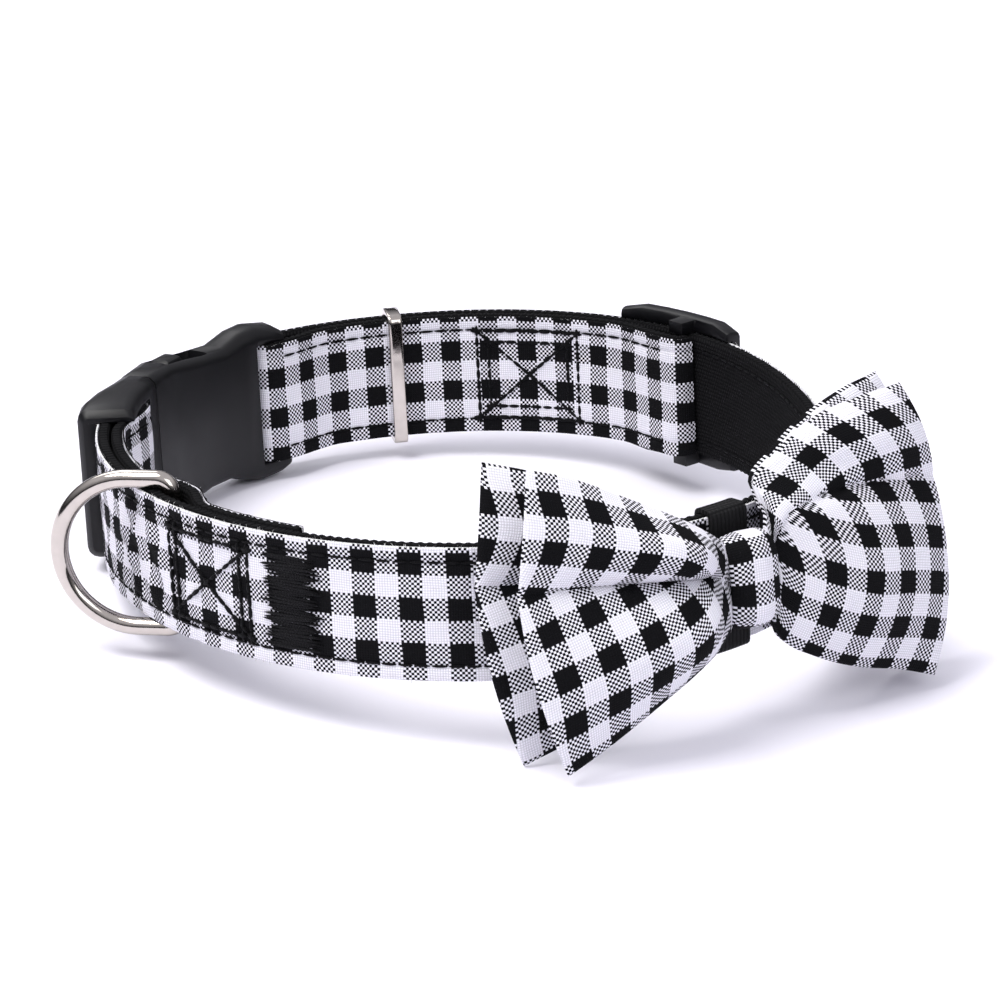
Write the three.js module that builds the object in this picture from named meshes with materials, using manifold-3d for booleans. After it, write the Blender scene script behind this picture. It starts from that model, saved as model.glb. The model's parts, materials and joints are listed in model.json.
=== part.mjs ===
// Pet collar with a bow tie, fastened into its loop and standing on its edge.
// A woven webbing strap carries a gingham facing. It runs once round the neck, turns back on
// itself at both ends, and holds a side-release buckle, a slider, a keeper, a D-ring and the bow.
// Millimetres, +Z up. The bow faces -Y, and the collar leans back on the buckle at its far side.

import * as THREE from "three";
import { mergeVertices } from "three/addons/utils/BufferGeometryUtils.js";
import Module from "manifold-3d";

const wasm = await Module();
wasm.setup();

const clearance = 0.3; // air between neighbouring pieces
const cutReach = 20; // how far a cutting body runs past the piece

// The strap: its loop is a round bent by a few waves, and pressed flat where the buckle lies.
const loopLength = 445; // once round the neck, along the middle of the webbing
const strapWidth = 25;
const webbingThickness = 1.4;
const facingThickness = 1.0;
const frontBearing = -88.5; // degrees round the loop's centre, from +X
const loopWaves = [
  { order: 1, share: 0.0205, phase: 112.0 },
  { order: 2, share: 0.0653, phase: 76.7 },
  { order: 3, share: 0.0141, phase: 24.9 },
  { order: 4, share: 0.007, phase: 14.1 },
];
const buckleFlat = { bearing: 116, halfSpan: 42, share: 0.012 };

// Places along the strap, in millimetres clockwise from the front of the loop.
const bowAt = 5.5;
const anchorEndAt = 86;
const dRingAt = 122.5;
const buckleAt = 168.5;
const keeperAt = 261;
const sliderAt = 325.5;

// The side-release buckle, measured along the strap from buckleAt.
const buckleRise = 3.4; // how far it stands past each edge of the strap
const flareRise = 4.0; // the same at its flared end
const buckleOut = 2.8; // its outer face, from the middle of the webbing
const buckleIn = 5.4; // its inner face
const shellWall = 1.5;
const endBarLength = 5;
const endBarThickness = 3.6;
const strapBarDiameter = 2.6; // the hidden bars that the strap turns round
const malePartLength = 21;
const femalePartLength = 44.8;
const anchorBarAt = 11.5;
const prongHeight = 5.2;
const armInset = 1.6; // from the buckle's edge in to the arms
const prongLength = 18;
const buttonLength = 9;
const windowLength = 15;
const flareLength = 15;

// The slider, the keeper and the D-ring.
const sliderLength = 30;
const sliderBarLength = 4;
const sliderBarThickness = 2.2;
const sliderRise = 3.2;
const sliderPostThickness = 1.6;
const sliderPostShift = 2.5; // from the slider's middle to the post, away from the buckle
const keeperWidth = 3;
const keeperThickness = 1.2;
const ringWire = 3.4;
const ringCorner = 2.6;
const ringReach = 22.5; // from the straight side to the far side, wire middles
const ringSwing = -45; // degrees from straight out, towards the buckle when negative

// The bow: two gathered cloths, a wrapped knot and the elastic that holds it to the strap.
const bowCloth = 1.2;
const bowHeight = 54.5;
const frontWidth = 79;
const backWidth = 84;
const edgeBulge = 5.4; // how far the side edges round outwards between their corners
const knotWidth = 10;
const knotHeight = 16.5;
const knotWall = 1.0;
const bowLean = 5; // degrees, top away from the viewer
const wingTwist = 5; // degrees more at the side edges
const bowTurn = 8.2; // degrees round from straight out of the strap
const bowUp = 1.2; // from the strap's middle up to the bow's
const wingCrease = 0.22; // how high the crease ends at the side edges, as a share of half the bow
const elasticWidth = 8;
const elasticThickness = 0.8;

// Sections of a wing from the knot to its side edge. The four columns that name a wing and an
// edge run from the height pinched in the knot, at 0, to the full height, at 1.
// Puff and the two sweeps are shares of the bow's height.
const wingSections = [
  { at: 0, leftTop: 0, leftFoot: 0, rightTop: 0, rightFoot: 0,
    puff: 0.011, frontSweep: 0, backSweep: 0 },
  { at: 0.14, leftTop: 0, leftFoot: 0, rightTop: 0, rightFoot: 0,
    puff: 0.016, frontSweep: 0, backSweep: 0 },
  { at: 0.3, leftTop: 0.25, leftFoot: 0.28, rightTop: 0.5, rightFoot: 0.36,
    puff: 0.09, frontSweep: 0, backSweep: 0.022 },
  { at: 0.55, leftTop: 0.59, leftFoot: 0.6, rightTop: 0.85, rightFoot: 0.68,
    puff: 0.095, frontSweep: 0.03, backSweep: 0.075 },
  { at: 0.8, leftTop: 0.86, leftFoot: 0.86, rightTop: 0.98, rightFoot: 0.86,
    puff: 0.065, frontSweep: 0.055, backSweep: 0.18 },
  { at: 1, leftTop: 1, leftFoot: 1, rightTop: 1, rightFoot: 1,
    puff: 0.03, frontSweep: 0.068, backSweep: 0.24 },
];

const halfStrap = strapWidth / 2;
const outerFace = webbingThickness / 2 + clearance + facingThickness;
const innerFace = webbingThickness / 2;
const facingShift = webbingThickness / 2 + clearance + facingThickness / 2;
const layerPitch = webbingThickness + clearance;
const anchorBar = buckleAt + anchorBarAt;
const sliderPostAt = sliderAt + sliderPostShift;
const femaleStart = buckleAt + malePartLength;
const buckleEnd = femaleStart + femalePartLength;
const adjusterBar = buckleEnd - strapBarDiameter;

const radians = THREE.MathUtils.degToRad;

// A smooth step from 0 to 1.
function ease(x) {
  const t = THREE.MathUtils.clamp(x, 0, 1);
  return t * t * (3 - 2 * t);
}

// Full within flat of the middle, and none past span.
function hump(distance, flat, span) {
  return 1 - ease((Math.abs(distance) - flat) / (span - flat));
}

function loopRadius(bearing) {
  let radius = 1;
  for (const wave of loopWaves) {
    radius += wave.share * Math.cos(wave.order * radians(bearing - wave.phase));
  }
  const away = (bearing - buckleFlat.bearing + 540) % 360 - 180;
  const within = Math.min(Math.abs(away) / buckleFlat.halfSpan, 1);
  return radius - (buckleFlat.share * (1 + Math.cos(Math.PI * within))) / 2;
}

// The loop as evenly turned samples, clockwise from the bow, with the length run so far.
function sampleLoop(count) {
  const samples = [];
  let run = 0;
  for (let i = 0; i <= count; i++) {
    const bearing = frontBearing - (360 * i) / count;
    const radius = loopRadius(bearing);
    const point = new THREE.Vector2(radius, 0).rotateAround(new THREE.Vector2(), radians(bearing));
    if (i > 0) run += point.distanceTo(samples[i - 1].point);
    samples.push({ point, run });
  }
  const scale = loopLength / run;
  return samples.map((sample) => ({
    point: sample.point.multiplyScalar(scale),
    run: sample.run * scale,
  }));
}

const loopSamples = sampleLoop(1440);

function loopPoint(along) {
  const last = loopSamples.length - 1;
  const wrapped = ((along % loopLength) + loopLength) % loopLength;
  let low = 0;
  let high = last;
  while (high - low > 1) {
    const middle = (low + high) >> 1;
    if (loopSamples[middle].run > wrapped) high = middle;
    else low = middle;
  }
  const span = loopSamples[high].run - loopSamples[low].run;
  const share = (wrapped - loopSamples[low].run) / span;
  return loopSamples[low].point.clone().lerp(loopSamples[high].point, share);
}

// A place on the strap: along it, out from the middle of the webbing, and up from mid-width.
function onStrap(along, out, up) {
  const step = 1;
  const here = loopPoint(along);
  const heading = loopPoint(along + step).sub(loopPoint(along - step)).normalize();
  return new THREE.Vector3(here.x - heading.y * out, here.y + heading.x * out, up);
}

// A closed solid through loops of equally many points. An open loft is capped with fans.
function loft(loops, closed = false) {
  const around = loops[0].length;
  const positions = [];
  for (const loop of loops) {
    for (const p of loop) positions.push(p.x, p.y, p.z);
  }
  const faces = [];
  const bands = closed ? loops.length : loops.length - 1;
  for (let i = 0; i < bands; i++) {
    const here = i * around;
    const next = ((i + 1) % loops.length) * around;
    for (let j = 0; j < around; j++) {
      const k = (j + 1) % around;
      faces.push(here + j, next + j, next + k, here + j, next + k, here + k);
    }
  }
  if (!closed) {
    const end = (loops.length - 1) * around;
    for (let j = 1; j < around - 1; j++) {
      faces.push(0, j, j + 1, end, end + j + 1, end + j);
    }
  }
  return faceOut(positions, faces);
}

// An indexed geometry whose faces point outwards, whichever way round they were listed.
function faceOut(positions, faces) {
  const a = new THREE.Vector3();
  const b = new THREE.Vector3();
  const c = new THREE.Vector3();
  let volume = 0;
  for (let i = 0; i < faces.length; i += 3) {
    a.fromArray(positions, faces[i] * 3);
    b.fromArray(positions, faces[i + 1] * 3);
    c.fromArray(positions, faces[i + 2] * 3);
    volume += a.dot(b.cross(c));
  }
  if (volume < 0) faces.reverse();
  const geometry = new THREE.BufferGeometry();
  geometry.setAttribute("position", new THREE.Float32BufferAttribute(positions, 3));
  geometry.setIndex(faces);
  return geometry;
}

function toSolid(geometry) {
  const bare = mergeVertices(geometry, 1e-4);
  return new wasm.Manifold(
    new wasm.Mesh({
      numProp: 3,
      vertProperties: bare.attributes.position.array,
      triVerts: new Uint32Array(bare.index.array),
    }),
  );
}

function toGeometry(solid) {
  const mesh = solid.getMesh();
  const positions = [];
  for (let i = 0; i < mesh.numVert; i++) {
    positions.push(...mesh.vertProperties.subarray(i * mesh.numProp, i * mesh.numProp + 3));
  }
  const geometry = new THREE.BufferGeometry();
  geometry.setAttribute("position", new THREE.Float32BufferAttribute(positions, 3));
  geometry.setIndex([...mesh.triVerts]);
  return geometry;
}

function join(first, ...others) {
  return toGeometry(others.reduce((sum, g) => sum.add(toSolid(g)), toSolid(first)));
}

function cut(first, ...others) {
  return toGeometry(others.reduce((rest, g) => rest.subtract(toSolid(g)), toSolid(first)));
}

// A rounded rectangle as pairs of out and up, its corners in arcs.
function roundedBox(outLow, outHigh, upLow, upHigh, radius, cornerSteps = 3) {
  const r = Math.min(radius, (outHigh - outLow) / 2 - 0.01, (upHigh - upLow) / 2 - 0.01);
  const corners = [
    [outHigh - r, upHigh - r],
    [outLow + r, upHigh - r],
    [outLow + r, upLow + r],
    [outHigh - r, upLow + r],
  ];
  const pairs = [];
  corners.forEach(([out, up], quarter) => {
    for (let i = 0; i <= cornerSteps; i++) {
      const angle = (Math.PI / 2) * (quarter + i / cornerSteps);
      pairs.push([out + r * Math.cos(angle), up + r * Math.sin(angle)]);
    }
  });
  return pairs;
}

// A body through rounded sections along the strap.
// Each row has: along, outLow, outHigh, upLow, upHigh and radius.
function bodyOnStrap(rows, cornerSteps) {
  return loft(
    rows.map((row) =>
      roundedBox(row.outLow, row.outHigh, row.upLow, row.upHigh, row.radius, cornerSteps).map(
        ([out, up]) => onStrap(row.along, out, up),
      ),
    ),
  );
}

// A plain box along the strap, bent with it, in steps of a few millimetres.
function blockOnStrap(from, to, outLow, outHigh, upLow, upHigh) {
  const steps = Math.max(1, Math.round((to - from) / 4));
  const loops = [];
  for (let i = 0; i <= steps; i++) {
    const along = from + ((to - from) * i) / steps;
    loops.push([
      onStrap(along, outHigh, upHigh),
      onStrap(along, outLow, upHigh),
      onStrap(along, outLow, upLow),
      onStrap(along, outHigh, upLow),
    ]);
  }
  return loft(loops);
}

// A round bar across the strap.
function barOnStrap(along, out, diameter, halfLength, sides = 10) {
  const ends = [-halfLength, halfLength];
  return loft(
    ends.map((up) => {
      const ring = [];
      for (let i = 0; i < sides; i++) {
        const angle = (2 * Math.PI * i) / sides;
        const reach = diameter / 2;
        ring.push(onStrap(along + reach * Math.cos(angle), out + reach * Math.sin(angle), up));
      }
      return ring;
    }),
  );
}

// What holds the turned-back layer off the main run, and over what length.
const spreaders = [
  { at: anchorBar, thickness: strapBarDiameter, flat: 2, span: 16 },
  { at: dRingAt, thickness: ringWire, flat: 1.5, span: 13 },
  { at: adjusterBar, thickness: strapBarDiameter, flat: 2, span: 16 },
  { at: sliderPostAt, thickness: sliderPostThickness, flat: 3, span: 18 },
];

// How far inside the main run the middle of the turned-back webbing lies.
function returnDepth(along) {
  let extra = 0;
  for (const spreader of spreaders) {
    const share = hump(along - spreader.at, spreader.flat, spreader.span);
    extra = Math.max(extra, share * (spreader.thickness + clearance));
  }
  return layerPitch + extra;
}

// The middle of the webbing as pairs of along and out. It starts hooked round the slider's post,
// comes back inside to the buckle, runs round the neck, turns round the anchor bar and ends
// inside, past the D-ring. Every turn is to the right, so the facing is always on the left.
function strapPath() {
  const path = [];
  const turn = (along, radius, from, to) => {
    const steps = 8;
    for (let i = 0; i <= steps; i++) {
      const angle = radians(from + ((to - from) * i) / steps);
      path.push([along + radius * Math.cos(angle), -radius + radius * Math.sin(angle)]);
    }
  };
  const backRun = (from, to, step) => {
    const steps = Math.round((from - to) / step);
    for (let i = 1; i < steps; i++) {
      const along = from - ((from - to) * i) / steps;
      path.push([along, -returnDepth(along)]);
    }
  };
  const postRadius = (sliderPostThickness + webbingThickness) / 2 + clearance;
  const postDepth = returnDepth(sliderPostAt) - postRadius;
  for (const angle of [10, -10, -30, -50, -70, -90]) {
    const a = radians(angle);
    path.push([sliderPostAt + postRadius * Math.cos(a), -postDepth + postRadius * Math.sin(a)]);
  }
  backRun(sliderPostAt, adjusterBar, 3);
  const foldRadius = returnDepth(adjusterBar) / 2;
  turn(adjusterBar, foldRadius, 270, 90);
  const mainEnd = loopLength + anchorBar;
  const mainSteps = Math.round((mainEnd - adjusterBar) / 4.5);
  for (let i = 1; i < mainSteps; i++) {
    path.push([adjusterBar + ((mainEnd - adjusterBar) * i) / mainSteps, 0]);
  }
  turn(mainEnd, returnDepth(anchorBar) / 2, 90, -90);
  const backFrom = anchorBar;
  const backSteps = Math.round((backFrom - anchorEndAt) / 2.8);
  for (let i = 1; i <= backSteps; i++) {
    const along = backFrom - ((backFrom - anchorEndAt) * i) / backSteps;
    path.push([along + loopLength, -returnDepth(along)]);
  }
  return path;
}

// One layer of the strap: the path moved left by shift, with a thickness.
function strapLayer(shift, thickness) {
  const path = strapPath();
  const loops = path.map(([along, out], i) => {
    const before = path[Math.max(i - 1, 0)];
    const after = path[Math.min(i + 1, path.length - 1)];
    const heading = new THREE.Vector2(after[0] - before[0], after[1] - before[1]).normalize();
    const side = (distance, up) =>
      onStrap(along - heading.y * distance, out + heading.x * distance, up);
    return [
      side(shift + thickness / 2, halfStrap),
      side(shift + thickness / 2, -halfStrap),
      side(shift - thickness / 2, -halfStrap),
      side(shift - thickness / 2, halfStrap),
    ];
  });
  return loft(loops);
}

// The half with the prongs: an end bar outside the strap, side rails, the bar that the strap
// turns round, a solid shoulder and two springing arms with a button each.
function maleBuckle() {
  const rise = halfStrap + buckleRise;
  const barOut = outerFace + clearance + endBarThickness;
  const sections = [
    { at: 0, out: barOut - 1.2, rise: rise - 2.2, radius: 1.2 },
    { at: 1.2, out: barOut, rise: rise - 0.8, radius: 2.2 },
    { at: endBarLength, out: barOut, rise: rise - 0.3, radius: 2.4 },
    { at: anchorBarAt - 1, out: barOut - 1.2, rise, radius: 2.6 },
    { at: anchorBarAt + 5, out: buckleOut + 0.4, rise, radius: 2.6 },
    { at: malePartLength - clearance, out: buckleOut, rise, radius: 2.6 },
  ];
  const frame = bodyOnStrap(
    sections.map((s) => ({
      along: buckleAt + s.at,
      outLow: -buckleIn,
      outHigh: s.out,
      upLow: -s.rise,
      upHigh: s.rise,
      radius: s.radius,
    })),
  );
  const slotHalf = halfStrap + clearance;
  const shoulderAt = anchorBar + strapBarDiameter / 2 + layerPitch + facingThickness + 3 * clearance;
  const layers = blockOnStrap(
    buckleAt - cutReach / 4,
    shoulderAt,
    -cutReach,
    outerFace + clearance,
    -slotHalf,
    slotHalf,
  );
  const slot = blockOnStrap(buckleAt + endBarLength, shoulderAt, -1, cutReach, -slotHalf, slotHalf);
  const bar = barOnStrap(
    anchorBar,
    -returnDepth(anchorBar) / 2,
    strapBarDiameter,
    slotHalf + buckleRise / 2,
  );
  const arms = [-1, 1].map((side) => prongArm(side));
  return join(cut(frame, layers, slot), bar, ...arms);
}

// The place of an arm and of the channel round it, out from the webbing.
const prongOut = buckleOut - shellWall - clearance;
const prongIn = -(buckleIn - shellWall - clearance);

function prongArm(side) {
  const tip = halfStrap + buckleRise;
  const neck = { low: tip - armInset - prongHeight, high: tip - armInset - clearance };
  const button = { low: tip - prongHeight - 1, high: tip };
  const buttonAt = prongLength - buttonLength;
  const rows = [
    { at: -2, ...neck },
    { at: buttonAt, ...neck },
    { at: buttonAt + 0.2 * buttonLength, ...button },
    { at: buttonAt + 0.7 * buttonLength, ...button },
    { at: prongLength, low: button.low + 0.4, high: button.high - 2.6 },
  ];
  return bodyOnStrap(
    rows.map((row) => ({
      along: femaleStart + row.at,
      outLow: prongIn,
      outHigh: prongOut,
      upLow: Math.min(side * row.low, side * row.high),
      upHigh: Math.max(side * row.low, side * row.high),
      radius: 0.9,
    })),
    2,
  );
}

// The shell that the prongs snap into: a mouth, an open window on each side for a button, a
// waist, and a flared end with the slot and the bar for the adjusting end of the strap.
function femaleBuckle() {
  const rise = halfStrap + buckleRise;
  const flare = halfStrap + flareRise;
  const windowAt = prongLength - buttonLength;
  const flareAt = femalePartLength - flareLength;
  const sections = [
    { at: 0, out: buckleOut, rise: rise - 0.1, radius: 2.2 },
    { at: windowAt, out: buckleOut + 0.3, rise, radius: 2.4 },
    { at: windowAt + windowLength - 2, out: buckleOut + 0.3, rise: rise - 1.6, radius: 2.4 },
    { at: flareAt - 1, out: buckleOut, rise: rise - 1.8, radius: 2.4 },
    { at: flareAt + 4, out: buckleOut, rise: flare - 0.6, radius: 2.6 },
    { at: flareAt + 8, out: buckleOut, rise: flare, radius: 2.6 },
    { at: femalePartLength - 2, out: buckleOut - 0.6, rise: flare - 0.7, radius: 2.4 },
    { at: femalePartLength, out: buckleOut - 1.6, rise: flare - 2, radius: 1.6 },
  ];
  const shell = bodyOnStrap(
    sections.map((s) => ({
      along: femaleStart + s.at,
      outLow: -buckleIn,
      outHigh: s.out,
      upLow: -s.rise,
      upHigh: s.rise,
      radius: s.radius,
    })),
  );
  const slotHalf = halfStrap + clearance;
  const slotStart = adjusterBar - strapBarDiameter / 2 - layerPitch - facingThickness - 3 * clearance;
  const slot = blockOnStrap(
    slotStart,
    buckleEnd + cutReach / 4,
    -cutReach,
    cutReach,
    -slotHalf,
    slotHalf,
  );
  const openings = [];
  for (const side of [-1, 1]) {
    const inside = rise - armInset - prongHeight - 2 * clearance;
    const ordered = (a, b) => [Math.min(side * a, side * b), Math.max(side * a, side * b)];
    const channelLow = prongIn - clearance;
    const channelHigh = prongOut + clearance;
    openings.push(
      blockOnStrap(
        femaleStart - 1,
        femaleStart + windowAt + 1,
        channelLow,
        channelHigh,
        ...ordered(inside, rise - armInset),
      ),
      blockOnStrap(
        femaleStart + windowAt,
        femaleStart + windowAt + windowLength,
        channelLow,
        channelHigh,
        ...ordered(inside, cutReach),
      ),
    );
  }
  const bar = barOnStrap(
    adjusterBar,
    -returnDepth(adjusterBar) / 2,
    strapBarDiameter,
    slotHalf + flareRise / 3,
  );
  return join(cut(shell, slot, ...openings), bar);
}

// The slider: a flat frame outside the strap, with a post inside it for the strap's end.
function slider() {
  const slotHalf = halfStrap + clearance;
  const rise = halfStrap + sliderRise;
  const low = outerFace + clearance;
  const high = low + sliderBarThickness;
  const half = sliderLength / 2;
  const steps = 6;
  const rows = [];
  for (let i = 0; i <= steps; i++) {
    const share = (2 * i) / steps - 1;
    const atEnd = Math.abs(share) === 1;
    rows.push({
      along: sliderAt + half * share,
      outLow: webbingThickness / 2,
      outHigh: high - (atEnd ? 0.4 : 0),
      upLow: -(rise - (atEnd ? 1 : 0)),
      upHigh: rise - (atEnd ? 1 : 0),
      radius: 1.1,
    });
  }
  const plate = bodyOnStrap(rows, 2);
  const strapRoom = blockOnStrap(
    sliderAt - cutReach,
    sliderAt + cutReach,
    -cutReach,
    low,
    -slotHalf,
    slotHalf,
  );
  const middle = half - sliderBarLength;
  const opening = blockOnStrap(
    sliderAt - middle,
    sliderAt + middle,
    -cutReach,
    cutReach,
    -slotHalf,
    slotHalf,
  );
  const postOut = -(innerFace + clearance + sliderPostThickness / 2);
  const lugs = [-1, 1].map((side) => {
    const edges = [side * slotHalf, side * (rise - 0.4)].sort((a, b) => a - b);
    return blockOnStrap(
      sliderPostAt - 2,
      sliderPostAt + 2,
      postOut - sliderPostThickness / 2,
      outerFace,
      ...edges,
    );
  });
  const post = barOnStrap(
    sliderPostAt,
    -(returnDepth(sliderPostAt) - (sliderPostThickness + webbingThickness) / 2 - clearance),
    sliderPostThickness,
    slotHalf + sliderRise / 2,
  );
  return join(cut(plate, strapRoom, opening), ...lugs, post);
}

// A flat band bent round something on the strap, as wide as given.
function bandRound(along, width, wall, outLow, outHigh, upHalf, radius) {
  const rows = (grow, reach) =>
    [-1, -0.5, 0, 0.5, 1].map((step) => ({
      along: along + step * reach,
      outLow: outLow - grow,
      outHigh: outHigh + grow,
      upLow: -(upHalf + grow),
      upHigh: upHalf + grow,
      radius: radius + grow,
    }));
  return cut(bodyOnStrap(rows(wall, width / 2)), bodyOnStrap(rows(0, width * 0.6)));
}

function keeper() {
  return bandRound(
    keeperAt,
    keeperWidth,
    keeperThickness,
    -(returnDepth(keeperAt) + innerFace + facingThickness + 2 * clearance),
    outerFace + clearance,
    halfStrap + clearance,
    0.5,
  );
}

function bowElastic() {
  return bandRound(
    bowAt,
    elasticWidth,
    elasticThickness,
    -(innerFace + clearance),
    outerFace + clearance,
    halfStrap + clearance,
    0.5,
  );
}

// The D-ring's outline in its own plane, wire middles: x out from the straight side, y up.
function ringOutline() {
  const half = halfStrap + clearance + ringWire / 2;
  const shape = new THREE.Path();
  shape.moveTo(0, -half + ringCorner);
  shape.lineTo(0, half - ringCorner);
  shape.absarc(ringCorner, half - ringCorner, ringCorner, Math.PI, Math.PI / 2, true);
  shape.lineTo(ringReach - half, half);
  shape.absarc(ringReach - half, 0, half, Math.PI / 2, -Math.PI / 2, true);
  shape.lineTo(ringCorner, -half);
  shape.absarc(ringCorner, -half + ringCorner, ringCorner, -Math.PI / 2, -Math.PI, true);
  return shape;
}

// The wire bent to the outline. The ring hangs from its straight side, held in the strap's fold.
function dRing() {
  const outline = ringOutline();
  const points = [];
  for (const curve of outline.curves) {
    const steps = curve.isLineCurve ? 1 : Math.max(3, Math.round(curve.getLength() / 3.2));
    for (let i = 0; i < steps; i++) points.push(curve.getPoint(i / steps));
  }
  const hinge = onStrap(dRingAt, -(innerFace + clearance + ringWire / 2), 0);
  const straightOut = onStrap(dRingAt, 1, 0).sub(onStrap(dRingAt, 0, 0));
  const away = straightOut.applyAxisAngle(new THREE.Vector3(0, 0, 1), radians(ringSwing));
  const across = new THREE.Vector3(0, 0, 1).cross(away);
  const sides = 12;
  const loops = points.map((point, i) => {
    const before = points[(i + points.length - 1) % points.length];
    const after = points[(i + 1) % points.length];
    const a = point.clone().sub(before).normalize();
    const b = after.clone().sub(point).normalize();
    const heading = a.clone().add(b).normalize();
    const spread = 1 / Math.max(heading.dot(b), 0.5);
    const loop = [];
    for (let k = 0; k < sides; k++) {
      const angle = (2 * Math.PI * (k + 0.5)) / sides;
      const inPlane = (ringWire / 2) * Math.cos(angle) * spread;
      const offPlane = (ringWire / 2) * Math.sin(angle);
      const x = point.x - heading.y * inPlane;
      const y = point.y + heading.x * inPlane;
      loop.push(
        hinge
          .clone()
          .addScaledVector(away, x)
          .addScaledVector(across, offPlane)
          .add(new THREE.Vector3(0, 0, y)),
      );
    }
    return loop;
  });
  return loft(loops, true);
}

// A value from a table's column at a share, along a smooth curve through the rows.
function fromSections(column, at) {
  const last = wingSections.length - 1;
  let i = 0;
  while (i < last - 1 && at > wingSections[i + 1].at) i++;
  const slope = (k) => {
    const low = wingSections[Math.max(k - 1, 0)];
    const high = wingSections[Math.min(k + 1, last)];
    return k < 2 ? 0 : (high[column] - low[column]) / (high.at - low.at);
  };
  const a = wingSections[i];
  const b = wingSections[i + 1];
  const width = b.at - a.at;
  const t = (at - a.at) / width;
  return (
    a[column] * (1 + 2 * t) * (1 - t) ** 2 +
    slope(i) * width * t * (1 - t) ** 2 +
    b[column] * t * t * (3 - 2 * t) +
    slope(i + 1) * width * t * t * (t - 1)
  );
}

// A point on the middle of a bow cloth: across from -1 to 1, tall from -1 to 1.
// The cloth folds inwards at both long edges and along a crease that climbs from the knot.
function bowPoint(across, tall, width, sweepColumn, depth) {
  const share = Math.abs(across);
  const reach = (width / 2) * share + edgeBulge * share * share * (1 - tall * tall);
  const edge = (across < 0 ? "left" : "right") + (tall < 0 ? "Foot" : "Top");
  const pinched = knotHeight / 2 - knotWall - 2 * clearance;
  const up = (pinched + (bowHeight / 2 - pinched) * fromSections(edge, share)) * tall;
  const crease = wingCrease * ease(2 * share);
  const fold = (tall - crease) / (tall < crease ? 1 + crease : 1 - crease);
  const puff = bowHeight * fromSections("puff", share) * Math.abs(Math.sin(Math.PI * fold));
  const sweep = bowHeight * fromSections(sweepColumn, share);
  const twist = up * Math.tan(radians(wingTwist * share));
  return new THREE.Vector3(Math.sign(across) * reach, depth + sweep + twist - puff, up);
}

// A bow cloth: one sheet through both wings, pinched at the knot.
function bowLayer(width, sweepColumn, depth) {
  const columns = 22;
  const rows = 12;
  const front = [];
  const back = [];
  for (let i = 0; i <= columns; i++) {
    const across = (2 * i) / columns - 1;
    for (let j = 0; j <= rows; j++) {
      const tall = (2 * j) / rows - 1;
      const middle = bowPoint(across, tall, width, sweepColumn, depth);
      const nearby = bowPoint(across, tall + 0.04 * (tall > 0 ? -1 : 1), width, sweepColumn, depth);
      const slope = Math.abs((nearby.y - middle.y) / (nearby.z - middle.z));
      const half = (bowCloth / 2) * Math.min(Math.hypot(1, slope), 1.3);
      const inKnot = hump(across * width, knotWidth, 2 * knotWidth);
      const y = inKnot * (bowCloth / 2) + (1 - inKnot) * half;
      front.push(middle.clone().add(new THREE.Vector3(0, -y, 0)));
      back.push(middle.clone().add(new THREE.Vector3(0, y, 0)));
    }
  }
  const positions = [];
  for (const p of [...front, ...back]) positions.push(p.x, p.y, p.z);
  const offset = front.length;
  const index = (i, j) => i * (rows + 1) + j;
  const faces = [];
  const quad = (a, b, c, d) => faces.push(a, b, c, a, c, d);
  for (let i = 0; i < columns; i++) {
    for (let j = 0; j < rows; j++) {
      const corners = [index(i, j), index(i + 1, j), index(i + 1, j + 1), index(i, j + 1)];
      quad(...corners);
      quad(...corners.reverse().map((c) => c + offset));
    }
  }
  const rim = [];
  for (let i = 0; i < columns; i++) rim.push(index(i, 0));
  for (let j = 0; j < rows; j++) rim.push(index(columns, j));
  for (let i = columns; i > 0; i--) rim.push(index(i, rows));
  for (let j = rows; j > 0; j--) rim.push(index(0, j));
  rim.forEach((here, k) => {
    const next = rim[(k + 1) % rim.length];
    quad(here, here + offset, next + offset, next);
  });
  return faceOut(positions, faces);
}

// Depths of the stack inside the bow, from the back of the knot at 0 towards the viewer.
const backDepth = -(knotWall + clearance + bowCloth / 2);
const frontDepth = backDepth - bowCloth - clearance;
const knotPuff = bowHeight * fromSections("puff", knotWidth / frontWidth);
const knotFront = frontDepth - bowCloth / 2 - knotPuff - clearance - knotWall;

// The knot: a strip of the same cloth wrapped round the middle, slightly barrelled.
function bowKnot() {
  const columns = 6;
  const ring = (grow, across) => {
    const swell = grow > 0 ? 0.5 * (1 - across * across) : 0;
    return roundedBox(
      knotFront + knotWall - grow - swell,
      -knotWall + grow,
      -(knotHeight / 2 - knotWall) - grow - swell,
      knotHeight / 2 - knotWall + grow + swell,
      1 + grow,
      4,
    );
  };
  const body = (grow, reach) => {
    const loops = [];
    for (let i = 0; i <= columns; i++) {
      const across = (2 * i) / columns - 1;
      loops.push(
        ring(grow, across).map(
          ([y, z]) => new THREE.Vector3((across * reach * knotWidth) / 2, y, z),
        ),
      );
    }
    return loft(loops);
  };
  return cut(body(knotWall, 1), body(0, 1.5));
}

const webbingBlack = { color: 0x141416, roughness: 0.85, metalness: 0 };
const gingham = { color: 0x8c8c8e, roughness: 0.9, metalness: 0 };
const mouldedBlack = { color: 0x1b1b1d, roughness: 0.45, metalness: 0 };
const nickel = { color: 0xd9d6d0, roughness: 0.15, metalness: 1 };

function piece(name, geometry, finish) {
  const mesh = new THREE.Mesh(geometry, new THREE.MeshStandardMaterial(finish));
  mesh.name = name;
  return mesh;
}

const strap = new THREE.Group();
strap.add(
  piece("webbing", strapLayer(0, webbingThickness), webbingBlack),
  piece("facing", strapLayer(facingShift, facingThickness), gingham),
  piece("keeper", keeper(), nickel),
  piece("slider", slider(), mouldedBlack),
  piece("d_ring", dRing(), nickel),
);

const buckle = new THREE.Group();
buckle.add(
  piece("buckle_male", maleBuckle(), mouldedBlack),
  piece("buckle_female", femaleBuckle(), mouldedBlack),
);

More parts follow.
